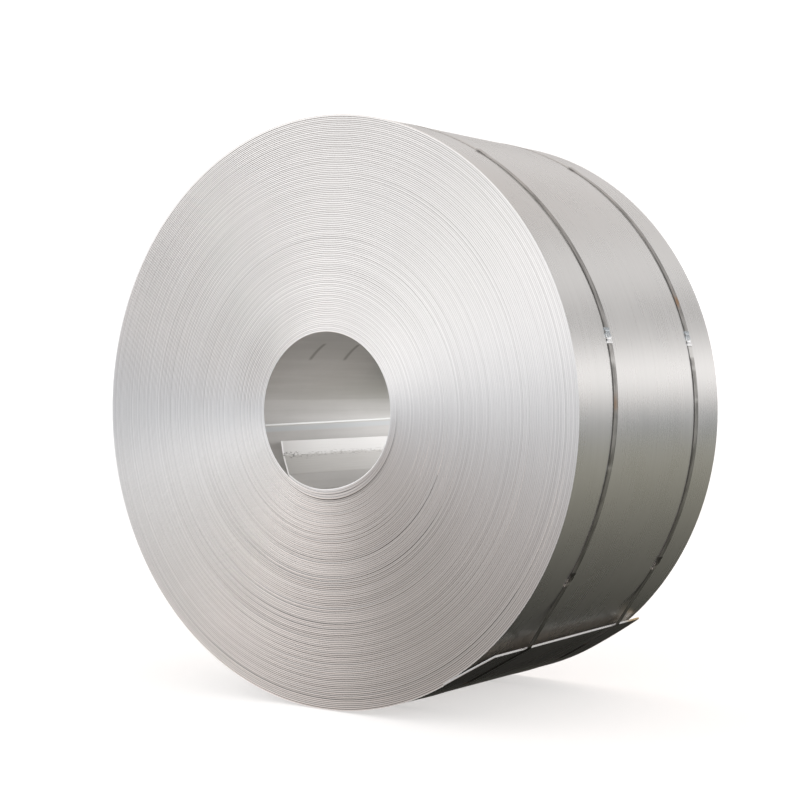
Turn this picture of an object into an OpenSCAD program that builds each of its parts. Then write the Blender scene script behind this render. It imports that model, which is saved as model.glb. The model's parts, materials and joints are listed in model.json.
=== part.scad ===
// Steel strip wound into a coil, lying on its side with its eye level.
// The axis runs along Y and the floor is at Z = 0. The near end, at -Y, is the one whose turns are dished in.

/* [Strip] */
// Width of the strip, which is the length of the coil along its axis
strip_w = 900; // [300:1:1800]
// Thickness of the strip, which is also the pitch of the turns
strip_t = 5.8; // [2:0.1:12]

/* [Coil] */
// Diameter of the eye
bore_d = 508; // [400:1:800]
// Number of turns
turns = 119; // [40:1:180]
// How far the first turn lies behind the last one, measured along the axis
dish = 20; // [0:1:60]
// How far the edges of the turns wander in and out between the eye and the rim
wander = 1.2; // [0:0.1:4]
// Turns between two ring lines on the ends
ring_turns = 2; // [1:1:10]
// Depth of a ring line
ring_depth = 1.6; // [0.2:0.1:3]
// Width of a ring line
ring_w = 2.4; // [0.4:0.1:4]

/* [Outer tail] */
// Direction in which the last turn springs off, counted from +X towards +Z
tail_deg = 300; // [285:1:320]
// Length of the straight tail
tail_l = 213; // [60:1:400]
// Length of the tail that still lies on the turn beneath
tail_lap = 30; // [10:1:50]

/* [Inner flap] */
// Direction in which the strip's inner end leaves the wall of the eye
flap_deg = 234; // [200:1:260]
// Length of the inner end that stands free in the eye
flap_l = 117; // [40:1:180]
// Angle between the inner end and the wall that it leaves
flap_bend = 34.5; // [20:0.5:60]
// Length of its tip, which the mandrel's jaw held
flap_tip_l = 45; // [10:1:60]
// Angle by which the tip is bent further into the eye
flap_tip_bend = 9.5; // [0:0.5:30]

/* [Straps] */
// Width of a strap
strap_w = 25; // [16:1:50]
// Thickness of a strap
strap_t = 1; // [0.5:0.1:2]
// Room between a strap and the strip under it
strap_gap = 0.2; // [0.1:0.05:0.4]
// Distance from the rim of the near end to the middle of the near strap
strap_near_in = 184; // [60:1:260]
// Distance from the rim of the far end to the middle of the far strap
strap_far_in = 160; // [60:1:260]
// How far the near strap was pulled aside at its upper seal
strap_near_pull = 34; // [0:1:60]
// Direction of the strap's upper free end
strap_end_deg = 60; // [35:1:80]

/* [Seals] */
// Length of a seal along the strap
seal_l = 48; // [30:1:60]
// Thickness of a seal's sheet
seal_t = 1.4; // [0.8:0.1:2.5]
// Room between a seal and the two strap layers in it
seal_gap = 0.15; // [0.1:0.05:0.3]
// Radius of the crimp notches in a seal's sides
notch_r = 3; // [1.5:0.1:5]
// Direction of the upper seals
seal_upper_deg = 14.5; // [6:0.5:28]
// Direction of the lower seals, where the straps leave the coil
seal_lower_deg = 328.5; // [328.5:0.5:345]
// Least way on the coil between a lower seal and where its strap lands
seal_clear = 10; // [2:1:40]

/* [Hidden] */
$fn = 180;

bore_r = bore_d / 2;
outer_r = bore_r + turns * strip_t;
under_r = outer_r - strip_t;
// The turned turns reach into the last one by a quarter of a thickness, and it reaches over them by half of it
core_r = under_r - strip_t / 4;
wrap_r = under_r - strip_t / 2;

// The last turn grows by one thickness on its way round, in this many flats.
flats = 150;
flat_deg = 360 / flats;
tail_dir = dir(tail_deg);
tail_run = dir(tail_deg + 90);
tail_corner = outer_r * tail_dir + tail_l * tail_run;
tail_lap_flats = ceil(tail_lap / under_r * 180 / PI / flat_deg);

// A taut strap runs straight from the tail's outer corner to where it meets the coil again.
meet_deg = atan2(tail_corner.y, tail_corner.x) + acos(under_r / norm(tail_corner));
meet_flat = floor((turn_deg(meet_deg) - tail_deg) / flat_deg);
landing_deg = tail_deg + meet_flat * flat_deg;
meet_dir = dir(landing_deg);
// Under a longer tail the strap lands further on, and the lower seal moves on with it.
seal_low_deg = max(turn_deg(seal_lower_deg), landing_deg + (seal_l / 2 + seal_clear) / under_r * 180 / PI);
// Its two ends lie on each other from the lower seal up to the free end.
lap_from = flat_at(seal_low_deg);
lap_to = flat_at(strap_end_deg);

strap_under = strap_gap;
strap_over = strap_gap + strap_t;
lap_over = strap_over + strap_t;

// A crimp notch leaves part of the seal's side wall standing
notch_depth = 0.6 * seal_t;
notch_h = 4 * (lap_over + seal_t);

rim_y = -(strip_w + dish) / 2;
// The straps' outline decides where the floor and the middle of the footprint are.
strap_line = taut_line(strap_over, lap_over);
axis_z = max([for (p = strap_line) -p.y]);
centre_x = -(max([for (p = strap_line) p.x]) + min([for (p = strap_line) p.x])) / 2;

// Larger than the whole coil, for wedges and half planes
far_out = 2 * (outer_r + tail_l);
// Seen from the side, the near strap's pull fades out at its free end above and at its lower seal below.
pull_steps = 12;
pull_low_h = height_of(seal_upper_deg) - seal_l / 2;
pull_high_h = height_of(seal_upper_deg) + seal_l / 2;
pull_line = concat(
    [[0, -far_out]],
    [for (i = [pull_steps : -1 : 0]) pulled(i, pull_low_h, height_of(seal_low_deg) + seal_l / 2)],
    [for (i = [0 : pull_steps]) pulled(i, pull_high_h, height_of(strap_end_deg))],
    [[0, far_out]]);

strap_near_y = rim_y + strap_near_in;
strap_far_y = rim_y + strip_w - strap_far_in;

// Root of the inner end inside the wall
flap_root = 2 * strip_t;

function dir(a) = [cos(a), sin(a)];
// A direction counted on from the tail, its flat, and the last turn's outer radius there
function turn_deg(a) = a - 360 * floor((a - tail_deg) / 360);
function flat_at(a) = round((turn_deg(a) - tail_deg) / flat_deg);
function spiral_r(a) = under_r + strip_t * (a - tail_deg) / 360;
// Corners of the last turn's flats from one to another, grown outwards
function turn_line(from, to, grow) = [
    for (i = [from : to]) let (a = tail_deg + i * flat_deg) (spiral_r(a) + grow) * dir(a)
];

// The outline that a taut strap follows, grown outwards: the coil, the lapped stretch on it, the tail's outer
// face and the free span from the tail's corner to the coil.
function taut_line(grow, lap_grow) = concat(
    turn_line(meet_flat, lap_from, grow), turn_line(lap_from, lap_to, lap_grow), turn_line(lap_to, flats, grow),
    [tail_corner + grow / (1 + tail_dir * meet_dir) * (tail_dir + meet_dir)]);

// Height above the axis of a direction on the last turn, and a point of the pulled strap between two heights
function height_of(a) = spiral_r(turn_deg(a)) * sin(a);
function pulled(i, from, to) = [
    strap_near_pull * pow(cos(90 * i / pull_steps), 2), from + (to - from) * i / pull_steps
];

// Place of a turn's edge behind the rim: a steady drift from the eye to the rim, and a slow wander.
function share(r) = (r - bore_r) / (outer_r - bore_r);
function edge(r) = dish * (1 - share(r)) + wander * sin(1440 * share(r)) * (1 - share(r));

// Ring lines on an end: a flat land over some turns, then a groove. The sign turns the grooves into the coil.
function ring_r(k) = min(bore_r + k * ring_turns * strip_t, core_r);
rings = ceil((core_r - bore_r) / (ring_turns * strip_t));
function land_in(k) = k == 0 ? bore_r : ring_r(k) + ring_w / 2;
function land_out(k) = k == rings - 1 ? core_r : ring_r(k + 1) - ring_w / 2;
function end_line(from, sign) = [
    for (k = [0 : rings - 1]) each concat(
        [[land_in(k), -(from + edge(land_in(k)))], [land_out(k), -(from + edge(land_out(k)))]],
        k == rings - 1 ? [] : [[ring_r(k + 1), -(from + edge(ring_r(k + 1)) + sign * ring_depth)]])
];
function reversed(list) = [for (i = [len(list) - 1 : -1 : 0]) list[i]];

// Puts the coil's own frame, with its axis through the origin, on the floor.
module placed() {
    translate([centre_x, 0, axis_z]) children();
}

// Extrudes a section along the axis, starting at the given place.
module along(from, length) {
    translate([0, from + length, 0]) rotate([90, 0, 0]) linear_extrude(length) children();
}

module wedge(from, to) {
    polygon([[0, 0], far_out * dir(from), far_out * dir((from + to) / 2), far_out * dir(to)]);
}

// All turns but the last, turned about the axis, with ring lines on both ends.
module turned_core() {
    translate([0, rim_y, 0]) rotate([90, 0, 0]) rotate_extrude()
        polygon(concat(end_line(0, 1), reversed(end_line(strip_w, -1))));
}

// The last turn, with its tail springing off straight.
module last_turn() {
    tail_in = under_r * tail_dir;
    along(rim_y, strip_w) difference() {
        polygon(concat(turn_line(tail_lap_flats, flats, 0),
                       [tail_corner, tail_in + tail_l * tail_run, tail_in + tail_lap * tail_run]));
        circle(wrap_r);
    }
}

// The strip's inner end, bent into the eye, with its tip bent once more.
module inner_flap() {
    fold = [flap_l - flap_tip_l, 0];
    tip = fold + flap_tip_l * dir(-flap_tip_bend);
    along(rim_y + dish, strip_w)
        translate(bore_r * dir(flap_deg))
        rotate(flap_deg - 90 - flap_bend)
        polygon([[-flap_root, 0], fold, tip, tip + strip_t * dir(-90 - flap_tip_bend),
                 fold - strip_t * [tan(flap_tip_bend / 2), 1], [-flap_root, -strip_t]]);
}

module coil() {
    color([0.78, 0.78, 0.77]) placed() {
        turned_core();
        last_turn();
        inner_flap();
    }
}

// Section of a strap: one band round coil and tail, twice as thick where its ends are lapped.
module hoop() {
    difference() {
        polygon(strap_line);
        polygon(taut_line(strap_under, strap_under));
    }
}

// A strap that runs straight round.
module strap(middle_y) {
    placed() along(middle_y - strap_w / 2, strap_w) hoop();
}

// A strap that was pulled aside, cut from a wide hoop along the line that it follows, seen from the side.
module pulled_strap(middle_y, line, pull) {
    half = [strap_w / 2, 0];
    placed() intersection() {
        along(middle_y - strap_w, pull + 2 * strap_w) hoop();
        translate([-far_out, middle_y, 0]) rotate([90, 0, 90]) linear_extrude(2 * far_out)
            polygon(concat([for (p = line) p - half], [for (p = reversed(line)) p + half]));
    }
}

// A crimped seal: a sheet folded over both strap layers, with a pair of notches in each side.
module seal(middle_y, at_deg) {
    coil_r = spiral_r(turn_deg(at_deg));
    half_deg = seal_l / 2 / coil_r * 180 / PI;
    inside_w = strap_w + 2 * seal_gap;
    outside_w = inside_w + 2 * seal_t;
    inside_r = coil_r + lap_over + seal_gap;
    placed() difference() {
        along(middle_y - outside_w / 2, outside_w) intersection() {
            difference() {
                circle(inside_r + seal_t);
                circle(coil_r + strap_under);
            }
            wedge(at_deg - half_deg, at_deg + half_deg);
        }
        along(middle_y - inside_w / 2, inside_w) circle(inside_r);
        for (side = [-1, 1], shift = [-1, 1])
            rotate([0, -(at_deg + shift * half_deg / 2), 0])
                translate([inside_r, middle_y + side * (outside_w / 2 + notch_r - notch_depth), 0])
                rotate([0, 90, 0]) cylinder(r = notch_r, h = notch_h, center = true);
    }
}

module strap_near() { color([0.30, 0.30, 0.30]) pulled_strap(strap_near_y, pull_line, strap_near_pull); }

module strap_far() { color([0.30, 0.30, 0.30]) strap(strap_far_y); }

module seal_near_upper() { color([0.72, 0.73, 0.74]) seal(strap_near_y + strap_near_pull, seal_upper_deg); }

module seal_near_lower() { color([0.36, 0.36, 0.35]) seal(strap_near_y, seal_low_deg); }

module seal_far_upper() { color([0.72, 0.73, 0.74]) seal(strap_far_y, seal_upper_deg); }

module seal_far_lower() { color([0.36, 0.36, 0.35]) seal(strap_far_y, seal_low_deg); }

coil();
strap_near();
strap_far();
seal_near_upper();
seal_near_lower();
seal_far_upper();
seal_far_lower();
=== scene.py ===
import json
import math

import bpy
import numpy as np
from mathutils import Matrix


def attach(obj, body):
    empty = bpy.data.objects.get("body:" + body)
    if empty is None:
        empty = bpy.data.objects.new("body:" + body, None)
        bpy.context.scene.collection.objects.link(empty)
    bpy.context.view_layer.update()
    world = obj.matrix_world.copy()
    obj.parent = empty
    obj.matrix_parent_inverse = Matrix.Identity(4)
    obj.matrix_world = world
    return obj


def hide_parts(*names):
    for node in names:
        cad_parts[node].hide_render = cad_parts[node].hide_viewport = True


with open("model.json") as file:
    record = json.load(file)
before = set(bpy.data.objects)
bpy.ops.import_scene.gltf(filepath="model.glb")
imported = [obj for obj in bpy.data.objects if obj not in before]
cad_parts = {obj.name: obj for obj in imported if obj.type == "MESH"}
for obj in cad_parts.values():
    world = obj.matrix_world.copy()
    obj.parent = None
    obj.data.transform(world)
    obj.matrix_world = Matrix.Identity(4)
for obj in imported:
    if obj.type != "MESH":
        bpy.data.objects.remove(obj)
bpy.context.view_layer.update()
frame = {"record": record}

# Near end of the coil: the sheared edges of one steel strip, wound tight on a mandrel that was then drawn out.
# The strip wandered a little on its way, so some turns stand proud and some are sunk, and the first turns lie
# behind the rim. The gaps between turns are darkened with painted shade, most beside sunk turns, and the edges' tone
# is made lighter and darker by direction as painted light and shade. The last turns hold the coil together under
# the straps.
eye = next(mount for mount in frame["record"]["mounts"] if mount["name"] == "eye")
axis_x, rim_y, axis_z = eye["pos_m"]
eye_r = eye["dims"]["r_mm"] / 1000
strip_w = eye["dims"]["length_mm"] / 1000
strip_t = 0.0058
turns = 119
outer_r = eye_r + turns * strip_t
flap_deg = 234.0
tail_deg = 300.0
wound_deg = 360.0 * (turns - 1) + tail_deg - flap_deg
turn_pitch = (outer_r - eye_r) / (wound_deg / 360 + 1)
turn_steps = 180
dish = 0.020
slow_wander = 0.0012
gap_depth = 0.0017
corner_drop = 0.0005
edge_rows = np.array([0.0, 0.12, 0.5, 0.85])
edge_drops = np.array([gap_depth, 0.0, 0.00025, 0.0010])
gap_shade_rows = np.array([0.85, 0.42, 0.0, 0.25])
gap_shade_least = 0.3
gap_shade_deg = 300.0
gap_shade_half_deg = 35.0
gap_shade_at_eye = 0.5
ring_shade_rows = np.array([0.7, 0.2, 0.0, 0.1])
loose_shade_rows = np.array([0.9, 0.8, 0.2, 0.4])
winding_seed = 11
knot_deg = 75.0
proud_common = 0.00058
proud_rare = 0.0015
rare_share = 0.10
tone_plain = 0.6
tone_spread = 0.6
painted_shade_below = 0.6
painted_shade_deg = 240.0
painted_shade_half_deg = 75.0
painted_shade_from = 0.35
painted_light_right = 0.35
painted_light_right_deg = 10.0
painted_light_right_half_deg = 35.0
painted_light_right_from = 0.4
ring_share = 0.22
ring_strong = 0.5
ring_weak = 0.25
ring_sunk = 0.0005
parted_deg = 284.0
parted_half_deg = 54.0
parted_least = 0.25
even_deg = 190.0
even_half_deg = 45.0
evened = 0.6
loose_at = 4.19
loose_half_deg = 55.0
loose_sunk = 2.0
sprung_in = 0.012
sprung_half_deg = 35.0
edge_sharp_deg = 50.0


def around(radius, deg, y):
    """Points at a radius and a direction about the eye's axis, counted from +X towards +Z, and at y along it."""
    angle = np.radians(deg)
    radius, angle, y = np.broadcast_arrays(radius, angle, y)
    return np.stack([axis_x + radius * np.cos(angle), y, axis_z + radius * np.sin(angle)], axis=-1)


def smooth(x):
    """Goes from 0 to 1 as x does, level at both ends: three times the square less twice the cube."""
    x = np.clip(x, 0.0, 1.0)
    return x * x * (3 - 2 * x)


def slow_noise(position, spacing, values):
    """A smooth curve through evenly spaced values: between two of them it follows smooth()."""
    place = np.clip(position / spacing, 0, len(values) - 1.001)
    knot = place.astype(int)
    return values[knot] + (values[knot + 1] - values[knot]) * smooth(place - knot)


draw = np.random.default_rng(winding_seed)
knots = int(wound_deg / knot_deg) + 3
proud = draw.normal(0.0, proud_common, knots)
proud += np.where(draw.random(knots) < rare_share, draw.normal(0.0, proud_rare, knots), 0.0)
turn_tone = draw.random(knots)
ring_mark = draw.random(turns + 3)
ring_draw = np.where(draw.random(turns + 3) < ring_share,
                     ring_strong + (1 - ring_strong) * ring_mark, ring_weak * ring_mark)


def bell(deg, at, half):
    """1 where the winding passes a direction, falling off to both sides: e to the negative square of the way
    off it."""
    return np.exp(-(((flap_deg + deg - at + 180) % 360 - 180) / half) ** 2)


def clear(deg, least, at, half):
    """How clearly single turns show: a bell about one direction on a steady share, and less on the side where the
    edges were rubbed even."""
    return (least + (1 - least) * bell(deg, at, half)) * (1 - evened * bell(deg, even_deg, even_half_deg))


def sprung(deg, turn):
    """How far a turn sprang into the eye: a bell about the direction below, falling off evenly from the first turn to
    the loose one."""
    return sprung_in * bell(deg, parted_deg, sprung_half_deg) * np.clip(1 - turn / loose_at, 0.0, 1.0)


def own(deg, values):
    """What sets a turn off from its neighbours: a smooth random curve, less the mean of the two turns beside it."""
    here, before, after = [slow_noise(np.maximum(deg + shift, 0.0), knot_deg, values) for shift in (0, -360, 360)]
    return here - (before + after) / 2


def loose(deg):
    """1 where one of the first turns sprang loose, over a part of its way: e to the negative fourth power."""
    return np.exp(-((deg - 360 * loose_at) / loose_half_deg) ** 4)


def ring_line(deg):
    """How strongly a turn is sunk and how much painted shade darkens the gap beside it as a dark ring, from 0 to
    about
    1: each turn has its own strength, times how clearly turns show there."""
    shown = clear(deg, parted_least, parted_deg, parted_half_deg)
    return shown * slow_noise(np.maximum(deg, 0.0), 360.0, ring_draw)


def drift(deg):
    """How far the strip's edge lies behind the rim after winding through deg: the dish falls off evenly from the
    eye to the rim, four slow waves ride on it, and each turn stands proud or sunk by its own small amount."""
    share = (deg / 360 * turn_pitch) / (outer_r - eye_r)
    waves = slow_wander * np.sin(8 * np.pi * share) * (1 - share)
    shown = clear(deg, parted_least, parted_deg, parted_half_deg)
    sunk = ring_sunk * (ring_line(deg) + loose_sunk * loose(deg))
    return dish * (1 - share) + waves + shown * own(deg, proud) + sunk


def turn_edges(end_y, inwards, steps):
    """The edges of all turns as one ribbon on a spiral. Its columns follow the winding angle, and the radius grows
    by one pitch a turn. Its rows go across the strip's thickness, from a gap up to a rounded crown and down again,
    and the last row is the first one of the next turn. Returns points, faces, and each point's painted gap shade and
    tone, the tone with painted light and shade by direction."""
    deg = np.arange(round(wound_deg * steps / 360) + 1) * 360.0 / steps
    columns, rows = len(deg), len(edge_rows)
    lies = drift(deg)
    beneath = np.where(deg >= 360, drift(deg - 360), lies)
    gap = np.maximum(lies * inwards, beneath * inwards) * inwards
    depth = lies[:, None] + inwards * edge_drops
    depth[:, 0] = np.where(deg >= 360, gap + inwards * gap_depth, lies + inwards * corner_drop)
    turn = deg[:, None] / 360 + edge_rows
    radius = eye_r + turn_pitch * turn - sprung(deg[:, None], turn)
    face = around(radius, flap_deg + deg[:, None], end_y + depth).reshape(-1, 3)
    rim = around(eye_r + turn_pitch * (deg[-steps:] / 360 + 1), flap_deg + deg[-steps:],
                 end_y + lies[-steps:] + inwards * corner_drop)
    number = np.arange(columns * rows).reshape(columns, rows)
    upper = np.concatenate([number[steps:, 0], columns * rows + np.arange(steps)])
    number = np.concatenate([number, upper[:, None]], axis=1)
    quads = np.stack([number[:-1, :-1], number[:-1, 1:], number[1:, 1:], number[1:, :-1]], axis=-1).reshape(-1, 4)
    share = deg / wound_deg
    # Painted light and shade: towards the lower left the outer turns are darker and the inner ones lighter, and
    # towards the right the outer turns are lighter and the inner ones darker.
    painted_sectors = painted_shade_below * bell(deg, painted_shade_deg, painted_shade_half_deg) * (share - painted_shade_from)
    painted_sectors -= painted_light_right * bell(deg, painted_light_right_deg, painted_light_right_half_deg) * (share - painted_light_right_from)
    tone = tone_plain + tone_spread * own(deg, turn_tone) - painted_sectors
    # Painted shade: dark lines in the gaps beside sunk and loose turns, and across all gaps towards the lower right,
    # darker outwards.
    ring_shade = ring_line(deg)[:, None] * ring_shade_rows + loose(deg)[:, None] * loose_shade_rows
    gap_shade_shown = clear(deg, gap_shade_least, gap_shade_deg, gap_shade_half_deg)
    ring_shade += gap_shade_rows * (gap_shade_shown * (gap_shade_at_eye + (1 - gap_shade_at_eye) * share))[:, None]
    gap_shade = np.where(deg >= 360, 1.0, 0.0)[:, None] * np.clip(ring_shade, 0.0, 1.0)
    look = np.stack(np.broadcast_arrays(gap_shade, tone[:, None], 0.0), axis=-1).reshape(-1, 3)
    rim_look = np.stack(np.broadcast_arrays(0.0, tone[-steps:], 0.0), axis=-1)
    return np.concatenate([face, rim]), quads[:, ::inwards], np.concatenate([look, rim_look])


def add_piece(name, points, quads, look_name, look, finish, nodes, slot, sharp_deg=40.0):
    """Puts points and four-cornered faces into a mesh, keeps three numbers for each point in an attribute that the
    finish reads, shades it smooth up to a sharp angle, and fixes it to the coil in place of its solids."""
    mesh = bpy.data.meshes.new(name)
    mesh.vertices.add(len(points))
    mesh.vertices.foreach_set("co", np.ascontiguousarray(points, dtype=np.float32).ravel())
    mesh.loops.add(quads.size)
    mesh.loops.foreach_set("vertex_index", np.ascontiguousarray(quads, dtype=np.int32).ravel())
    mesh.polygons.add(len(quads))
    mesh.polygons.foreach_set("loop_start", np.arange(0, quads.size, 4, dtype=np.int32))
    mesh.update(calc_edges=True)
    kept = mesh.attributes.new(look_name, "FLOAT_VECTOR", "POINT")
    kept.data.foreach_set("vector", np.ascontiguousarray(look, dtype=np.float32).ravel())
    mesh.shade_smooth()
    mesh.set_sharp_from_angle(angle=math.radians(sharp_deg))
    mesh.materials.append(finish)
    piece = bpy.data.objects.new(name, mesh)
    bpy.context.scene.collection.objects.link(piece)
    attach(piece, "root")
    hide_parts(*nodes)


class Finish:
    """One output of a finish's nodes. Python's operators add Math nodes to it, and node() adds any other node."""

    def __init__(self, tree, socket=None):
        self.tree = tree
        self.socket = socket

    def node(self, kind, settings, sockets, output=0):
        """Adds a node of this kind, sets its settings and a ramp's stops, then fills or links its sockets."""
        made = self.tree.nodes.new(kind)
        for name, value in settings.items():
            if name == "stops":
                ramp = made.color_ramp
                while len(ramp.elements) < len(value):
                    ramp.elements.new(1.0)
                for element, (place, colour) in zip(ramp.elements, value):
                    element.position = place
                    element.color = (*colour, 1.0)
            else:
                setattr(made, name, value)
        for name, value in sockets.items():
            if isinstance(value, Finish):
                self.tree.links.new(value.socket, made.inputs[name])
            else:
                made.inputs[name].default_value = value
        return Finish(self.tree, made.outputs[output])

    def maths(self, operation, *values):
        """Adds a Math node on these values."""
        return self.node("ShaderNodeMath", {"operation": operation}, dict(enumerate(values)))

    def __add__(self, other):
        return self.maths("ADD", self, other)

    def __radd__(self, other):
        return self.maths("ADD", other, self)

    def __sub__(self, other):
        return self.maths("SUBTRACT", self, other)

    def __rsub__(self, other):
        return self.maths("SUBTRACT", other, self)

    def __mul__(self, other):
        return self.maths("MULTIPLY", self, other)

    def __rmul__(self, other):
        return self.maths("MULTIPLY", other, self)

    def step(self, low, high):
        """0 below low and 1 above high, smooth between them."""
        return self.node("ShaderNodeMapRange", {"interpolation_type": "SMOOTHSTEP"},
                         {"Value": self, "From Min": low, "From Max": high})

    def blend(self, first, second):
        """Goes from the first colour to the second as this value goes from 0 to 1."""
        return self.node("ShaderNodeMix", {"data_type": "RGBA"},
                         {"Factor": self, 6: first, 7: second}, output=2)

    def noise(self, scale, detail=2.0):
        """Soft noise round 0.5 at this place, with its grain stretched by a scale for each direction."""
        place = self.node("ShaderNodeVectorMath", {"operation": "MULTIPLY"}, {0: self, 1: scale})
        return self.node("ShaderNodeTexNoise", {}, {"Vector": place, "Scale": 1.0, "Detail": detail})

    def part(self, axis):
        """One of a place's three numbers."""
        return self.node("ShaderNodeSeparateXYZ", {}, {"Vector": self}, output=axis)


def new_finish(name):
    """A bare material with its shader, and a start for the nodes that feed it."""
    material = bpy.data.materials.new(name)
    material.use_nodes = True
    shader = material.node_tree.nodes["Principled BSDF"]
    return material, shader, Finish(material.node_tree)


def feed(start, shader, **links):
    """Links values to a shader's sockets, each named with underscores for its spaces."""
    for name, value in links.items():
        start.tree.links.new(value.socket, shader.inputs[name.replace("_", " ")])


edge_bright = (0.97, 0.965, 0.96, 1.0)
edge_dull = (0.80, 0.795, 0.79, 1.0)
# Painted shade: the near-black colour of the gaps between turns.
painted_gap_shade = (0.10, 0.095, 0.09, 1.0)
burr_grain = (420.0, 420.0, 420.0)
stain_grain = (3.0, 3.0, 3.0)
by_turn, by_burr, by_stain = 0.75, 0.5, 0.35
edge_rough, burr_rough, gap_rough = 0.30, 0.10, 0.15

sheared_edge, shader, start = new_finish("sheared_edge")
shader.inputs["Metallic"].default_value = 1.0
look = start.node("ShaderNodeAttribute", {"attribute_name": "edge_look"}, {}, output="Vector")
place = start.node("ShaderNodeTexCoord", {}, {}, output="Object")
burr = place.noise(burr_grain, 3.0)
stain = place.noise(stain_grain, 3.0)
tone = by_turn * look.part("Y") + by_burr * (burr - 0.5) + by_stain * (stain - 0.5)
steel = tone.step(-0.1, 0.9).blend(edge_dull, edge_bright)
# Painted shade in the gaps between turns, carried in the look's first number.
gap_shade = look.part("X")
feed(start, shader, Base_Color=gap_shade.blend(steel, painted_gap_shade),
     Roughness=edge_rough + burr_rough * burr + gap_rough * gap_shade)

near_points, near_quads, near_look = turn_edges(rim_y, 1, turn_steps)
add_piece("turn_edges_near", near_points, near_quads, "edge_look", near_look, sheared_edge, ["coil"],
          "strip_steel", edge_sharp_deg)

# Far end of the coil: the same edges, on the side where the first turns stick out as far as they lie in at the
# near end, because every turn has the strip's one width.
far_steps = 120
far_y = rim_y + strip_w
far_points, far_quads, far_look = turn_edges(far_y, -1, far_steps)
add_piece("turn_edges_far", far_points, far_quads, "edge_look", far_look, sheared_edge, ["coil"],
          "strip_steel", edge_sharp_deg)

# Outer wrap: the last turn's outer face, bright pickled strip with fine lines along its length from the rolls.
# It starts under the tail, one thickness below where it ends. In the wedge beside the tail it is made less metallic
# and brown, as painted light that lifts the wedge out of its shade.
wrap_rows = 31
wedge_light_deg = 10.0
wedge_light_fade_deg = 4.0


def grid_quads(rows, columns, flip=False, closed_rows=False, closed_columns=False):
    """Faces between the neighbours of a grid of points, closed into a ring along either side on request."""
    number = np.arange(rows * columns).reshape(rows, columns)
    if closed_rows:
        number = np.concatenate([number, number[:1]])
    if closed_columns:
        number = np.concatenate([number, number[:, :1]], axis=1)
    quads = np.stack([number[:-1, :-1], number[:-1, 1:], number[1:, 1:], number[1:, :-1]], axis=-1).reshape(-1, 4)
    return quads[:, ::-1] if flip else quads


def wrap_radius(deg):
    """Outer radius of the last turn in a direction counted on from the tail: it grows by one pitch on its way
    round."""
    return outer_r - turn_pitch + turn_pitch * (deg - tail_deg) / 360


strip_bright = (0.80, 0.795, 0.785, 1.0)
strip_soft = (0.70, 0.695, 0.685, 1.0)
# Painted light: the brown that the wedge beside the tail is given so that it shows lighter.
tip_brown = (0.62, 0.46, 0.26, 1.0)
wedge_painted_light_brown = (0.72, 0.66, 0.58, 1.0)
roll_grain = (0.9, 160.0, 1.0)
fine_grain = (3.0, 900.0, 1.0)
smudge_grain = (5.0, 5.0, 1.0)
scratch_grain = (2.2, 420.0, 1.0)
by_roll, by_smudge, by_scratch = 0.9, 0.7, 0.35
ripple_strength, ripple_height = 0.06, 0.001
wedge_light_share, wedge_light_metal, strip_metal = 0.8, 0.16, 0.88
strip_rough, smudge_rough, roll_rough = 0.20, 0.10, 0.06

bright_strip, shader, start = new_finish("bright_strip")
lay = start.node("ShaderNodeAttribute", {"attribute_name": "strip_lay"}, {}, output="Vector")
roll_lines = lay.noise(roll_grain, 3.0)
fine_lines = lay.noise(fine_grain, 2.0)
smudge = lay.noise(smudge_grain, 4.0)
scratch = lay.noise(scratch_grain, 0.0).step(0.72, 0.80)
tone = 0.5 + by_roll * (roll_lines - 0.5) + by_smudge * (smudge - 0.5) + by_scratch * scratch
ripple = start.node("ShaderNodeBump", {},
                    {"Strength": ripple_strength, "Distance": ripple_height, "Height": fine_lines})
wedge_light_from = math.radians(tail_deg + wedge_light_deg) * outer_r
wedge_light_to = math.radians(tail_deg + wedge_light_deg + wedge_light_fade_deg) * outer_r
# Painted light: the first few degrees past the tail, in the wedge, turn less metallic and brown so that they show
# lighter.
wedge_painted_light = lay.part("X").step(wedge_light_to, wedge_light_from)
strip = tone.step(0.0, 1.0).blend(strip_soft, strip_bright)
strip = (wedge_light_share * wedge_painted_light).blend(strip, wedge_painted_light_brown)
feed(start, shader, Base_Color=lay.part("Z").blend(strip, tip_brown), Metallic=strip_metal - wedge_light_metal * wedge_painted_light,
     Roughness=strip_rough + smudge_rough * smudge + roll_rough * roll_lines, Normal=ripple)

wrap_deg = tail_deg + np.arange(turn_steps + 1) * 360.0 / turn_steps
wrap_share = np.linspace(0.0, 1.0, wrap_rows)
wrap_lies = drift(wrap_deg - tail_deg + wound_deg - 360)
wrap_y = (rim_y + wrap_lies + corner_drop) + (strip_w - 2 * corner_drop) * wrap_share[:, None]
wrap_r = wrap_radius(wrap_deg)
wrap_points = around(wrap_r, wrap_deg, wrap_y)
wrap_lay = np.stack(np.broadcast_arrays(np.radians(wrap_deg) * wrap_r, wrap_y, 0.0), axis=-1)
add_piece("outer_wrap", wrap_points.reshape(-1, 3), grid_quads(wrap_rows, turn_steps + 1, flip=True), "strip_lay",
          wrap_lay.reshape(-1, 3), bright_strip, ["coil"], "strip_steel")

# Outer tail: the strip's free end, which springs off the last turn and stands out straight until the straps pull
# it no further. Its end was cut square, it is twisted a little, and its far corner is stained brown.
tail_l = 0.213
tail_columns = 25
tail_rise_near = 0.003
tail_rise_far = -0.008
edge_round = 0.0007
corner_points = 4
stain_from = 0.93
stain_in = 0.10
stain_fade = 0.05


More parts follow.
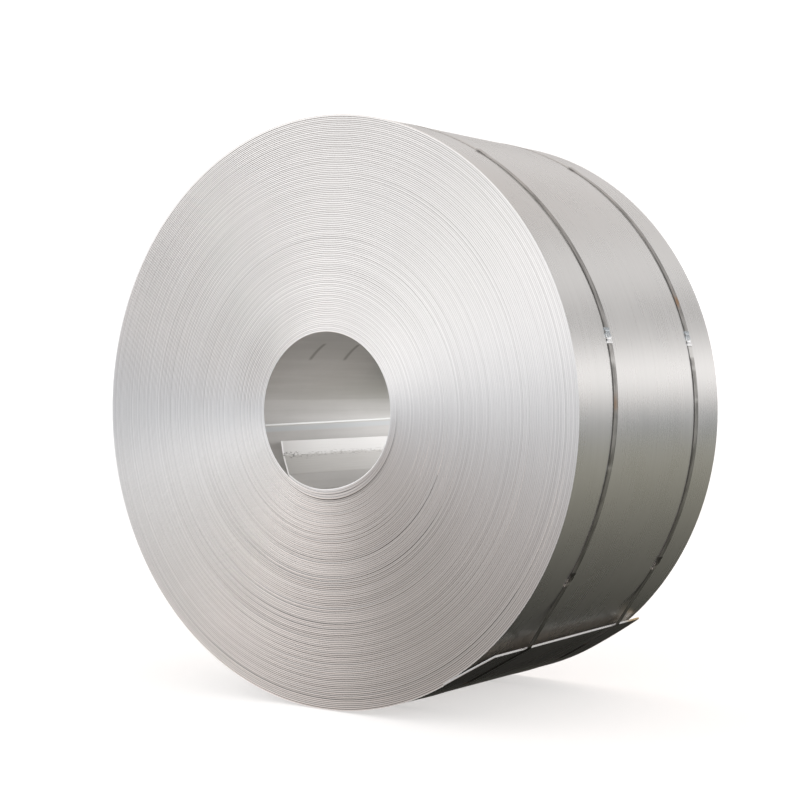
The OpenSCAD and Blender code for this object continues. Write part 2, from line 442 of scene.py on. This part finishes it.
def rounded_box(width, thickness, radius, cuts):
    """Outline of a strip's section: a rectangle about the origin whose four corners are arcs, as a closed row of
    points going once round, with the long sides cut into this many even lengths."""
    turn = np.linspace(0.0, np.pi / 2, corner_points)
    corner = radius * np.stack([np.cos(turn), np.sin(turn)], axis=-1)
    centres = np.array([[1, 1], [-1, 1], [-1, -1], [1, -1]]) * [width / 2 - radius, thickness / 2 - radius]
    quarter = np.array([[[1, 0], [0, 1]], [[0, 1], [-1, 0]], [[-1, 0], [0, -1]], [[0, -1], [1, 0]]])
    arcs = centres[:, None] + np.einsum("cd,kde->kce", corner, quarter)
    span = np.linspace(0.0, 1.0, cuts + 1)[1:-1, None]
    top = arcs[0, -1] + (arcs[1, 0] - arcs[0, -1]) * span
    foot = arcs[2, -1] + (arcs[3, 0] - arcs[2, -1]) * span
    return np.concatenate([arcs[0], top, arcs[1], arcs[2], foot, arcs[3]])


def bar_along(path, across, outline, lift=0.0):
    """Carries an outline along a path in the XZ plane. The outline's first number goes along the axis from the
    place in across, and its second goes out from the path, to the right of its run. Returns points by station."""
    run = np.gradient(path, axis=0)
    run /= np.linalg.norm(run, axis=1, keepdims=True)
    out = np.stack([run[:, 1], -run[:, 0]], axis=-1)
    height = outline[None, :, 1] + lift
    x = path[:, :1] + out[:, :1] * height
    z = path[:, 1:] + out[:, 1:] * height
    y = np.broadcast_to(np.reshape(across, (-1, 1)) + outline[None, :, 0], x.shape)
    return np.stack([x, y, z], axis=-1)


def capped(points):
    """Faces of a bar: its sides, and both ends as fans of strips across the outline's two halves."""
    stations, loop = points.shape[:2]
    sides = grid_quads(stations, loop, flip=True, closed_columns=True)
    half = np.arange(loop // 2 - 1)
    cap = np.stack([half, half + 1, loop - 2 - half, loop - 1 - half], axis=-1)
    return np.concatenate([sides, cap, cap[:, ::-1] + (stations - 1) * loop])


def direction(deg):
    """Unit step in the XZ plane in a direction counted from +X towards +Z."""
    return np.array([math.cos(math.radians(deg)), math.sin(math.radians(deg))])


axis_at = np.array([axis_x, axis_z])
tail_out = direction(tail_deg)
tail_run = direction(tail_deg + 90)
tail_root = axis_at + outer_r * tail_out
tail_share = np.linspace(0.0, 1.0, tail_columns)


def tail_rise(share, y):
    """How far the tail stands off its straight run: nothing at its root, then with the square of its length, and
    evenly from its near edge to its far one."""
    across = (y - rim_y) / strip_w
    return share ** 2 * (tail_rise_near + (tail_rise_far - tail_rise_near) * across)


tail_section = rounded_box(strip_w, strip_t, edge_round, wrap_rows - 1)
tail_path = tail_root + tail_l * tail_share[:, None] * tail_run - tail_out * strip_t / 2
tail_points = bar_along(tail_path, rim_y + strip_w / 2, tail_section)
tail_points[..., [0, 2]] += tail_rise(tail_share[:, None], tail_points[..., 1])[..., None] * tail_out
tail_along = np.broadcast_to((math.radians(tail_deg + 360) * outer_r + tail_l * tail_share)[:, None],
                             tail_points.shape[:2])
stained = smooth((tail_share[:, None] - stain_from) / (1 - stain_from))
stained = stained * smooth((tail_points[..., 1] - far_y + stain_in) / stain_fade)
tail_lay = np.stack([tail_along, tail_points[..., 1], stained], axis=-1)
add_piece("outer_tail", tail_points.reshape(-1, 3), capped(tail_points), "strip_lay", tail_lay.reshape(-1, 3),
          bright_strip, ["coil"], "strip_steel")

# Eye wall: the first turn's inner face, smoothed against the mandrel. A crease that a gap between the mandrel's
# segments pressed into it runs along the eye, a little aslant, and two smears lie across it. The crease's ridge is
# painted white as a highlight and a band just below it bluish as a painted reflection, and the wall from a little
# above the crease down to the flap is painted paler as painted light from above.
crease_deg = 190.0
crease_slant = -2.6
crease_rise = 0.0010
crease_half = 0.75
reflection_below_crease = 3.2
reflection_half = 2.2
reflection_mark = 0.8
crease_fine_below = 6.0
crease_fine_above = 8.0
crease_fine_deg = 0.25
eye_step_deg = 2.0
wall_light_deg = 172.0
wall_light_soft_deg = 1.0
under_flap_to = 0.10
under_flap_fade = 0.04
smear_from = 119.0
smear_to = 140.0
smear_depths = (0.180, 0.363)
smear_half = 0.015
smear_fade_deg = 3.0

wall_bright = (0.86, 0.85, 0.84, 1.0)
wall_soft = (0.70, 0.69, 0.67, 1.0)
wall_smear = (0.42, 0.41, 0.39, 1.0)
# Painted highlight and painted reflection: the white of the crease's ridge and the bluish band just below it.
painted_crease_highlight = (0.95, 0.96, 0.96, 1.0)
painted_crease_reflection = (0.82, 0.85, 0.87, 1.0)
rub_grain = (40.0, 1.6, 1.0)
wall_smudge_grain = (7.0, 4.0, 1.0)
wall_plain, by_rub, by_wall_smudge, by_wall_light, by_under_flap = 0.25, 0.9, 0.8, 0.45, 0.6
wall_rough, wall_smudge_rough = 0.40, 0.15
wall_metal, highlight_ridge_metal, under_flap_metal = 0.85, 0.30, 0.12


def on_wall(deg):
    """Way along the first turn, in metres, to a direction in the eye."""
    return math.radians(deg - flap_deg + 360) * eye_r


smoothed_wall, shader, start = new_finish("smoothed_wall")
lay = start.node("ShaderNodeAttribute", {"attribute_name": "wall_lay"}, {}, output="Vector")
rub = lay.noise(rub_grain, 3.0)
smudge = lay.noise(wall_smudge_grain, 4.0)
way, across, crease_light_mark = lay.part("X"), lay.part("Y"), lay.part("Z")
# Painted light: the wall from a little above the crease down to the flap is painted paler, as if lit from above.
painted_wall_light = way.step(on_wall(wall_light_deg - wall_light_soft_deg), on_wall(wall_light_deg + wall_light_soft_deg))
under_flap = way.step(under_flap_to + under_flap_fade, under_flap_to)
tone = wall_plain + by_rub * (rub - 0.5) + by_wall_smudge * (smudge - 0.5)
tone = tone + by_wall_light * painted_wall_light + by_under_flap * under_flap
wall = tone.step(0.0, 1.0).blend(wall_soft, wall_bright)
smeared = sum(1.0 - start.maths("ABSOLUTE", across - (rim_y + depth)).step(0.0, smear_half)
              for depth in smear_depths)
begun = way.step(on_wall(smear_from), on_wall(smear_from + smear_fade_deg))
ended = way.step(on_wall(smear_to - smear_fade_deg), on_wall(smear_to))
wall = (smeared * begun * (1.0 - ended)).blend(wall, wall_smear)
# Painted reflection: the bluish band below the crease. Painted highlight: the ridge white and less metallic.
wall = crease_light_mark.step(0.0, -1.0).blend(wall, painted_crease_reflection)
painted_ridge_highlight = crease_light_mark.step(0.0, 1.0)
feed(start, shader, Base_Color=painted_ridge_highlight.blend(wall, painted_crease_highlight), Roughness=wall_rough + wall_smudge_rough * smudge,
     Metallic=wall_metal - highlight_ridge_metal * painted_ridge_highlight - under_flap_metal * under_flap)

eye_rows = 31
fine_deg = crease_deg + np.arange(-crease_fine_below, crease_fine_above + crease_fine_deg / 2, crease_fine_deg)
even_turn = np.arange(0.0, 360.0 + eye_step_deg / 2, eye_step_deg)
eye_turn = np.unique(np.concatenate([even_turn, fine_deg - flap_deg + 360]))
eye_share = np.linspace(0.0, 1.0, eye_rows)[:, None]
wall_y = (rim_y + drift(eye_turn) + corner_drop) + (strip_w - 2 * corner_drop) * eye_share
from_crease = eye_turn + flap_deg - 360 - crease_deg - crease_slant * (wall_y - rim_y)
crease = np.exp(-(from_crease / crease_half) ** 2)
wall_r = eye_r + turn_pitch * eye_turn / 360 - sprung(eye_turn, eye_turn / 360) - crease_rise * crease
wall_points = around(wall_r, flap_deg + eye_turn, wall_y)
# Painted light along the crease: its ridge for a white highlight, less a band below it for a bluish reflection.
painted_crease_light = crease - reflection_mark * np.exp(-((from_crease - reflection_below_crease) / reflection_half) ** 4)
wall_lay = np.stack(np.broadcast_arrays(np.radians(eye_turn) * eye_r, wall_y, painted_crease_light), axis=-1)
add_piece("eye_wall", wall_points.reshape(-1, 3), grid_quads(eye_rows, len(eye_turn)), "wall_lay",
          wall_lay.reshape(-1, 3), smoothed_wall, ["coil"], "strip_steel")

# Inner flap: the strip's first end, which the mandrel's jaw bent into the eye. It stands free over the whole
# width. Its tip, which the jaw held, is bent once more and whiter than the rest, with broken scores along the jaw's
# edge.
flap_l = 0.117
flap_bend = 34.5
flap_tip_l = 0.045
flap_tip_bend = 9.5
bend_r = 0.012
bend_steps = 9
flap_steps = 31
score_at = 0.047
score_half = 0.009
score_ragged = 0.030
grip_soft = 0.003
bite_from = 0.02
bite_to = 0.14

jaw_white = (0.97, 0.965, 0.96, 1.0)
jaw_grey = (0.84, 0.83, 0.81, 1.0)
score_dark = (0.30, 0.29, 0.28, 1.0)
ragged_grain = (60.0, 14.0, 1.0)
row_grain = (300.0, 5.0, 1.0)
score_grain = (300.0, 60.0, 1.0)
by_grip, by_rows, by_score, bite_less = 0.85, 1.2, 0.8, 0.65
flap_rough, row_rough, flap_metal, grip_metal = 0.38, 0.2, 0.70, 0.10

jaw_marked, shader, start = new_finish("jaw_marked")
lay = start.node("ShaderNodeAttribute", {"attribute_name": "flap_lay"}, {}, output="Vector")
from_tip = lay.part("X")
ragged = lay.noise(ragged_grain, 4.0)
rows = lay.noise(row_grain, 3.0)
edge_at = from_tip + score_ragged * (ragged - 0.5)
gripped = edge_at.step(score_at - grip_soft, score_at + grip_soft)
near_band = 1.0 - start.maths("ABSOLUTE", edge_at - score_at).step(0.5 * score_half, 1.5 * score_half)
first_bite = 1.0 - bite_less * lay.part("Y").step(rim_y + dish + bite_from, rim_y + dish + bite_to)
scored = near_band * first_bite * lay.noise(score_grain, 3.0).step(0.50, 0.60)
plate = (by_grip * gripped + by_rows * (rows - 0.45)).step(0.0, 1.0).blend(jaw_white, jaw_grey)
feed(start, shader, Base_Color=(by_score * scored).blend(plate, score_dark), Roughness=flap_rough + row_rough * rows,
     Metallic=flap_metal + grip_metal * gripped)

bend_deg = np.linspace(0.0, flap_bend, bend_steps)
root_r = eye_r - sprung(0.0, 0.0)
bend_centre = (root_r - bend_r + strip_t / 2) * direction(flap_deg)
bend_way = np.radians(flap_deg - bend_deg)
bend_path = bend_centre + bend_r * np.stack([np.cos(bend_way), np.sin(bend_way)], axis=-1)
straight = flap_l - bend_r * math.radians(flap_bend)
flap_reach = straight * np.linspace(0.0, 1.0, flap_steps)[1:]
fold = smooth((flap_reach - straight + flap_tip_l) / (2 * strip_t) + 0.5)
flap_way = np.radians(flap_deg - 90 - flap_bend - flap_tip_bend * fold)
flap_step = straight / (flap_steps - 1) * np.stack([np.cos(flap_way), np.sin(flap_way)], axis=-1)
flap_path = axis_at + np.concatenate([bend_path, bend_path[-1] + np.cumsum(flap_step, axis=0)])
flap_points = bar_along(flap_path[::-1], rim_y + dish + strip_w / 2, tail_section)
flap_along = np.concatenate([[0.0], np.cumsum(np.linalg.norm(np.diff(flap_path[::-1], axis=0), axis=1))])
flap_lay = np.stack(np.broadcast_arrays(flap_along[:, None], flap_points[..., 1], 0.0), axis=-1)
add_piece("inner_flap", flap_points.reshape(-1, 3), capped(flap_points), "flap_lay", flap_lay.reshape(-1, 3),
          jaw_marked, ["coil"], "strip_steel")

# Straps: two flat bands of steel, pulled taut round the coil and its tail. Each one's ends lie on each other from the
# lower seal up to a free end, and a straight span bridges the wedge beside the tail. They are dirty on the lap, and
# the near one was pulled aside where it was sealed. Painted shade darkens them under the tail, on their undersides
# and along the lap's edges; they are paler towards the top, partly clean steel and partly painted reflection, and a
# few spots are painted white as highlights.
strap_w = 0.025
strap_t = 0.001
strap_gap = 0.0002
strap_near_in = 0.184
strap_far_in = 0.160
strap_near_pull = 0.034
seal_upper_deg = 14.5
seal_lower_deg = 328.5
seal_l = 0.048
lap_under_deg = 1.0
lap_to_deg = 420.0
lap_step_deg = 0.5
end_spring = 0.0025
end_spring_deg = 3.0
span_steps = 13
strap_round = 0.0004
strap_cuts = 6
edge_shadow_from = 0.0088
edge_shadow_to = 0.0122
# Paler towards the top: partly clean steel and partly a painted reflection of the bright light above.
pale_sheen_above = 0.35
pale_sheen_fade = 0.3
pale_sheen_from_deg = 398.0
pale_sheen_share = 0.6
under_tail_shade_wear = 2.0
# Spots with a negative strength are painted highlights; those with a positive one are rust and wear.
near_spots = ((370.0, 1.0, -0.6), (350.5, 0.6, -0.6), (362.0, 2.0, 0.6))
far_spots = ((371.9, 1.0, -2.2), (368.7, 0.6, -0.5), (362.4, 0.6, -0.5), (382.6, 2.0, 0.9))

strap_dark = (0.22, 0.215, 0.205, 1.0)
strap_worn = (0.50, 0.49, 0.475, 1.0)
strap_pale_and_sheen = (0.72, 0.715, 0.70, 1.0)
# Painted highlight: the white of the brightest spots on the straps.
painted_strap_highlight = (0.97, 0.97, 0.965, 1.0)
# Painted shadow: the near-black along the straps' edges.
painted_strap_edge_shadow = (0.10, 0.098, 0.092, 1.0)
# Painted shade: the near-black of the straps under the tail.
painted_under_tail_shade = (0.05, 0.048, 0.044, 1.0)
rust = (0.36, 0.21, 0.11, 1.0)
streak_grain = (9.0, 420.0, 1.0)
patch_grain = (14.0, 40.0, 1.0)
by_streak, by_patch, less_worn, by_edge_shadow = 0.7, 0.6, 0.15, 0.75
strap_metal, strap_rough, patch_rough = 0.9, 0.30, 0.2

strap_steel, shader, start = new_finish("strap_steel")
shader.inputs["Metallic"].default_value = strap_metal
lay = start.node("ShaderNodeAttribute", {"attribute_name": "strap_lay"}, {}, output="Vector")
streak = lay.noise(streak_grain, 3.0)
patch = lay.noise(patch_grain, 3.0)
worn = (by_streak * streak + by_patch * patch - less_worn).step(0.36, 0.64)
wear = lay.part("Z")
# Painted shadow: dark lines along both edges of a strap, where it stands off the coil.
rim = start.maths("ABSOLUTE", lay.part("Y")).step(edge_shadow_from, edge_shadow_to)
lapped = wear.step(0.0, 1.0).blend(strap_pale_and_sheen, worn.blend(strap_dark, strap_worn))
rusty = (wear.step(1.0, 2.0) * patch.step(0.40, 0.60)).blend(lapped, rust)
edge_shadowed = (by_edge_shadow * rim * wear.step(0.0, 1.0)).blend(rusty, painted_strap_edge_shadow)
# Painted shade: the straps turn near black under the tail.
under_tail_shaded = wear.step(2.2, 3.0).blend(edge_shadowed, painted_under_tail_shade)
feed(start, shader, Base_Color=wear.step(0.0, -1.0).blend(under_tail_shaded, painted_strap_highlight),
     Roughness=strap_rough + patch_rough * patch)

strap_section = rounded_box(strap_w, strap_t, strap_round, strap_cuts)
# Painted shade: the straps' undersides take the dark lap colours.
painted_underside_shade = np.where(strap_section[:, 1] < -0.3 * strap_t, 1.0, 0.0)


def height_of(deg):
    """Height above the axis of a direction on the last turn: its radius times the sine."""
    return wrap_radius(deg) * np.sin(np.radians(deg))


def near_pull(height):
    """How far the near strap lies to the side at a height above the axis: all the way at its upper seal, and from
    there with the square of a cosine down to the lower seal and up to the free end."""
    seal_h = height_of(seal_upper_deg + 360)
    up = (height - seal_h - seal_l / 2) / (height_of(lap_to_deg) - seal_h - seal_l / 2)
    down = (seal_h - seal_l / 2 - height) / (seal_h - seal_l - height_of(seal_lower_deg))
    return strap_near_pull * np.cos(np.clip(np.maximum(up, down), 0.0, 1.0) * np.pi / 2) ** 2


def no_pull(height):
    """The far strap runs straight round."""
    return np.zeros_like(height)


def on_last_turn(deg):
    """Places on the last turn's outer face in the XZ plane, about the axis."""
    return wrap_radius(deg)[:, None] * np.stack([np.cos(np.radians(deg)), np.sin(np.radians(deg))], axis=-1)


def strap_path(middle_y):
    """A strap's run as places in the XZ plane: round the last turn from where it meets the coil, out along the tail,
    over its corner and straight back."""
    corner = outer_r * tail_out + tail_l * tail_run + tail_rise(1.0, middle_y) * tail_out
    corner_deg = math.degrees(math.atan2(corner[1], corner[0])) % 360
    meet_deg = corner_deg + math.degrees(math.acos(wrap_radius(tail_deg) / np.linalg.norm(corner)))
    on_coil = on_last_turn(np.linspace(meet_deg, tail_deg + 360, turn_steps))
    share = np.linspace(0.0, 1.0, span_steps)[1:, None]
    on_tail = outer_r * tail_out + tail_l * share * tail_run + tail_rise(share, middle_y) * tail_out
    span = corner + (on_coil[0] - corner) * share
    return np.concatenate([on_coil, on_tail, span[:-1]])


def closed_run(path, across, outline, lift):
    """Carries an outline once round a closed path, so that its end meets its start."""
    looped = np.concatenate([path[-2:], path, path[:2]])
    wide = np.concatenate([across[-2:], across, across[:2]])
    return bar_along(looped, wide, outline, lift)[2:-2]


def strap_look(path, wear):
    """For each point of a strap: its way along, its way across from the middle, and its wear, with painted shade
    beneath. Wear goes from -1, a painted white highlight, over 0, pale, partly clean and partly painted reflection,
    and
    1, dull, to 2, rusty, and 3, painted shade near black."""
    reach = np.concatenate([[0.0], np.cumsum(np.linalg.norm(np.diff(path, axis=0), axis=1))])
    wear_and_shade = np.maximum(np.reshape(wear, (-1, 1)), painted_underside_shade)
    return np.stack(np.broadcast_arrays(reach[:, None], strap_section[:, 0], wear_and_shade), axis=-1)


def spotted(deg, spots):
    """Wear of soft spots on a strap, each with its direction, half width and strength: bells, added up. Spots with a
    negative strength are painted highlights, pale to white.
    """
    return sum(strength * np.exp(-((deg - at) / half) ** 2) for at, half, strength in spots)


lap_deg = np.arange(seal_lower_deg - lap_under_deg, lap_to_deg + lap_step_deg / 2, lap_step_deg)
lap_lift = end_spring * smooth((lap_deg - lap_to_deg) / end_spring_deg + 1)
# The lap pales towards its free end near the top: partly clean steel and partly painted reflection.
lap_dirt_and_sheen = 1 - pale_sheen_share * smooth((lap_deg - pale_sheen_from_deg) / (lap_to_deg - pale_sheen_from_deg))
strap_rows = {"near": (rim_y + strap_near_in, near_pull, near_spots),
              "far": (far_y - strap_far_in, no_pull, far_spots)}
for side, (middle_y, pull, spots) in strap_rows.items():
    path = strap_path(middle_y)
    band = closed_run(axis_at + path, middle_y + pull(path[:, 1]), strap_section, strap_gap + strap_t / 2)
    lap_path = on_last_turn(lap_deg)
    lap = bar_along(axis_at + lap_path, middle_y + pull(lap_path[:, 1]), strap_section,
                    (strap_gap + 1.5 * strap_t + lap_lift)[:, None])
    points = np.concatenate([band.reshape(-1, 3), lap.reshape(-1, 3)])
    quads = np.concatenate([grid_quads(*band.shape[:2], flip=True, closed_rows=True, closed_columns=True),
                            capped(lap) + band.shape[0] * band.shape[1]])
    under_tail = path @ tail_out > outer_r - strap_t
    # Pale above a height, partly clean and partly painted reflection, and painted shade under the tail.
    band_wear_and_light = 1 - smooth((path[:, 1] / outer_r - pale_sheen_above) / pale_sheen_fade) + under_tail_shade_wear * under_tail
    lap_wear_and_light = lap_dirt_and_sheen + spotted(lap_deg, spots)
    look = np.concatenate([strap_look(path, band_wear_and_light).reshape(-1, 3), strap_look(lap_path, lap_wear_and_light).reshape(-1, 3)])
    add_piece("strap_" + side + "_band", points, quads, "strap_lay", look, strap_steel, ["strap_" + side],
              "strap_steel")

# Seals: short sleeves of sheet steel, folded over both strap layers and crimped so that notches bite into their
# sides. The upper pair is bright zinc with a painted white highlight at its lower end, and the lower pair is dull,
# with the same painted highlight paler at its lower end.
seal_t = 0.0014
seal_gap = 0.00015
seal_round = 0.0011
seal_cuts = 10
notch_half = 0.0032
notch_in = 0.0018
notch_places = (-0.25, 0.25)
notch_side_from = 0.7
notch_side_fade = 0.4
dent = 0.0005
seal_steps = 49

zinc_spangle_and_highlight = (0.97, 0.975, 0.98, 1.0)
zinc_dull = (0.46, 0.50, 0.53, 1.0)
crimp_worn_and_highlight = (0.62, 0.60, 0.57, 1.0)
crimp_dark = (0.10, 0.097, 0.092, 1.0)
spangle_grain = (260.0, 260.0, 1.0)
by_low_end_highlight, spangle_rough = 0.45, 0.2

seal_looks = {"upper": (zinc_spangle_and_highlight, zinc_dull, 0.14), "lower": (crimp_worn_and_highlight, crimp_dark, 0.40)}
seal_finishes = {}
for place_name, (bright, dull, rough) in seal_looks.items():
    sheet, shader, start = new_finish("seal_" + place_name + "_sheet")
    shader.inputs["Metallic"].default_value = 1.0
    lay = start.node("ShaderNodeAttribute", {"attribute_name": "seal_lay"}, {}, output="Vector")
    spangle = lay.noise(spangle_grain, 3.0)
    # Spangle, and a painted highlight that grows towards each seal's lower end.
    spangle_and_highlight = (spangle + by_low_end_highlight * lay.part("Z")).step(0.46, 0.62)
    feed(start, shader, Base_Color=spangle_and_highlight.blend(dull, bright), Roughness=rough + spangle_rough * spangle)
    seal_finishes[place_name] = sheet

outer_h = strap_gap + 2 * strap_t + seal_gap + seal_t
seal_section = rounded_box(strap_w + 2 * (seal_gap + seal_t), outer_h - strap_gap, seal_round, seal_cuts)
along = np.linspace(-0.5, 0.5, seal_steps)
bite = sum(np.exp(-((along - at) * seal_l / notch_half) ** 4) for at in notch_places)[:, None]
for side, (middle_y, pull, _) in strap_rows.items():
    for place_name, seal_deg in (("upper", seal_upper_deg + 360), ("lower", seal_lower_deg)):
        way = seal_deg + np.degrees(along * seal_l / wrap_radius(seal_deg))
        seal = bar_along(axis_at + on_last_turn(way), 0.0, seal_section, (outer_h + strap_gap) / 2 - dent * bite)
        at_side = smooth((np.abs(seal[..., 1]) / (strap_w / 2) - notch_side_from) / notch_side_fade)
        seal[..., 1] *= 1 - notch_in / (strap_w / 2) * bite * at_side
        seal_lay = np.stack(np.broadcast_arrays(along[:, None] * seal_l, seal[..., 1], -along[:, None]), axis=-1)
        seal[..., 1] += middle_y + pull(height_of(seal_deg))
        node = "seal_" + side + "_" + place_name
        add_piece(node + "_sleeve", seal.reshape(-1, 3), capped(seal), "seal_lay", seal_lay.reshape(-1, 3),
                  seal_finishes[place_name], [node], "seal_bright" if place_name == "upper" else "seal_dark")

# Floor and backdrop: one pale sheet of paper that runs under the coil and curves up far behind it. It glows a
# little, so that it shows as white as in the photograph, and throws no light back on the steel.
cove_half = 40.0
cove_back = 9.0
cove_rise = 9.0
cove_bend = 3.0
cove_rows = 61
cove_columns = 13
cove_glow = 0.45
cove_rough = 0.9
cove_white = (0.93, 0.93, 0.93, 1.0)

cove_way = np.linspace(0.0, 1.0, cove_rows)
cove_flat = 2 * cove_back
cove_arc = cove_bend * math.pi / 2
cove_len = cove_way * (cove_flat + cove_arc + cove_rise)
bend_angle = np.clip((cove_len - cove_flat) / cove_bend, 0, math.pi / 2)
cove_y = np.minimum(cove_len, cove_flat) - cove_back + cove_bend * np.sin(bend_angle)
cove_z = cove_bend * (1 - np.cos(bend_angle)) + np.clip(cove_len - cove_flat - cove_arc, 0, None)
cove_x = np.linspace(-cove_half, cove_half, cove_columns)
cove_points = np.stack(np.broadcast_arrays(cove_x[:, None], cove_y, cove_z), axis=-1)
cove_mesh = bpy.data.meshes.new("pale_cove")
cove_quads = grid_quads(*cove_points.shape[:2], flip=True)
cove_mesh.from_pydata(cove_points.reshape(-1, 3).tolist(), [], cove_quads.tolist())
cove_mesh.shade_smooth()
pale_paper, shader, _ = new_finish("pale_paper")
shader.inputs["Base Color"].default_value = cove_white
shader.inputs["Roughness"].default_value = cove_rough
shader.inputs["Emission Color"].default_value = (1.0, 1.0, 1.0, 1.0)
shader.inputs["Emission Strength"].default_value = cove_glow
cove_mesh.materials.append(pale_paper)
cove = bpy.data.objects.new("pale_cove", cove_mesh)
cove.visible_glossy = False
cove.visible_diffuse = False
bpy.context.scene.collection.objects.link(cove)

# Studio light: a soft room whose light changes with the height above the horizon. Behind the coil a dark floor
# meets a bright band at eye level and a lamp row above it; the near end faces a pale wall under soft overhead
# light, and the walls on both sides throw a little light back from below. A soft lamp hides in the eye.
warm = (1.0, 0.89, 0.83)
olive = (1.0, 0.97, 0.80)
plain = (1.0, 0.98, 0.97)
cool = (0.94, 1.0, 1.08)
room_behind = [(-0.60, 0.02, olive), (-0.40, 0.17, olive), (-0.15, 0.38, olive), (-0.05, 0.35, cool),
               (0.00, 0.65, plain), (0.10, 1.40, plain), (0.16, 1.40, plain), (0.24, 0.65, plain),
               (0.34, 0.55, plain), (0.42, 1.00, plain), (0.55, 0.55, plain), (0.66, 0.90, warm)]
room_front = [(-1.00, 0.55, warm), (-0.30, 0.42, warm), (0.00, 0.60, cool), (0.25, 1.50, plain),
              (0.50, 1.00, plain), (1.00, 0.30, warm)]
room_sides = [(-1.00, 0.70, warm), (-0.50, 2.00, warm), (-0.20, 0.70, plain), (0.00, 0.90, cool),
              (0.10, 0.50, cool), (0.25, 1.80, plain), (0.50, 1.30, plain), (1.00, 0.30, warm)]
corner_dark = 0.95
lamp_row_light = 0.35

room = bpy.data.worlds.new("studio_room")
room.use_nodes = True
bpy.context.scene.world = room
start = Finish(room.node_tree)
toward = start.node("ShaderNodeTexCoord", {}, {}, output="Generated")
height = 0.5 + 0.5 * toward.part("Z")
behind, front, sides = [
    start.node("ShaderNodeValToRGB", {"stops": [(0.5 + 0.5 * at, tuple(level * part for part in tint))
                                               for at, level, tint in bands]}, {"Fac": height})
    for bands in (room_behind, room_front, room_sides)]
sideways = start.maths("ABSOLUTE", toward.part("X")).step(0.35, 0.95)
low_left = toward.part("X").step(0.0, -0.3) * toward.part("Z").step(-0.1, -0.4)
behind = (corner_dark * low_left).blend(behind, (0.0, 0.0, 0.0, 1.0))
lamp_row = toward.part("X").step(0.1, 0.3) * toward.part("Z").step(0.44, 0.50) * toward.part("Z").step(0.58, 0.53)
behind = (lamp_row_light * lamp_row).blend(behind, (1.0, 1.0, 1.0, 1.0))
light = toward.part("Y").step(-0.25, 0.35).blend(sideways.blend(front, sides), behind)
backdrop = room.node_tree.nodes["Background"]
start.tree.links.new(light.socket, backdrop.inputs["Color"])

lamp_w = 0.12
lamp_l = 0.80
lamp_spread_deg = 80.0
lamp_watts = 1.3
lamp_right = 0.20
lamp_below = 0.03
eye_light = bpy.data.lights.new("eye_lamp", "AREA")
eye_light.shape = "RECTANGLE"
eye_light.size = lamp_w
eye_light.size_y = lamp_l
eye_light.spread = math.radians(lamp_spread_deg)
eye_light.energy = lamp_watts
eye_lamp = bpy.data.objects.new("eye_lamp", eye_light)
eye_lamp.location = (axis_x + lamp_right, rim_y + strip_w / 2, axis_z - lamp_below)
eye_lamp.rotation_euler = (0.0, math.radians(90), 0.0)
eye_lamp.visible_camera = False
eye_lamp.visible_glossy = False
bpy.context.scene.collection.objects.link(eye_lamp)

# Camera: level with the eye, to the right of the near end, with a long lens. Its place, its turn and its lens were
# fitted to both rims, the eye and the straps in the photograph.
camera_side = 3.3413
camera_back = 4.1420
camera_above = 0.1117
camera_turn = 36.215
camera_tilt = -0.773
camera_lens = 75.39
camera_sensor = 36.0
lens = bpy.data.cameras.new("camera")
lens.lens = camera_lens
lens.sensor_width = camera_sensor
camera = bpy.data.objects.new("camera", lens)
camera.location = (axis_x + camera_side, rim_y - camera_back, axis_z + camera_above)
camera.rotation_euler = (math.radians(90 + camera_tilt), 0.0, math.radians(camera_turn))
bpy.context.scene.collection.objects.link(camera)
bpy.context.scene.camera = camera
bpy.context.scene.view_settings.view_transform = "Standard"
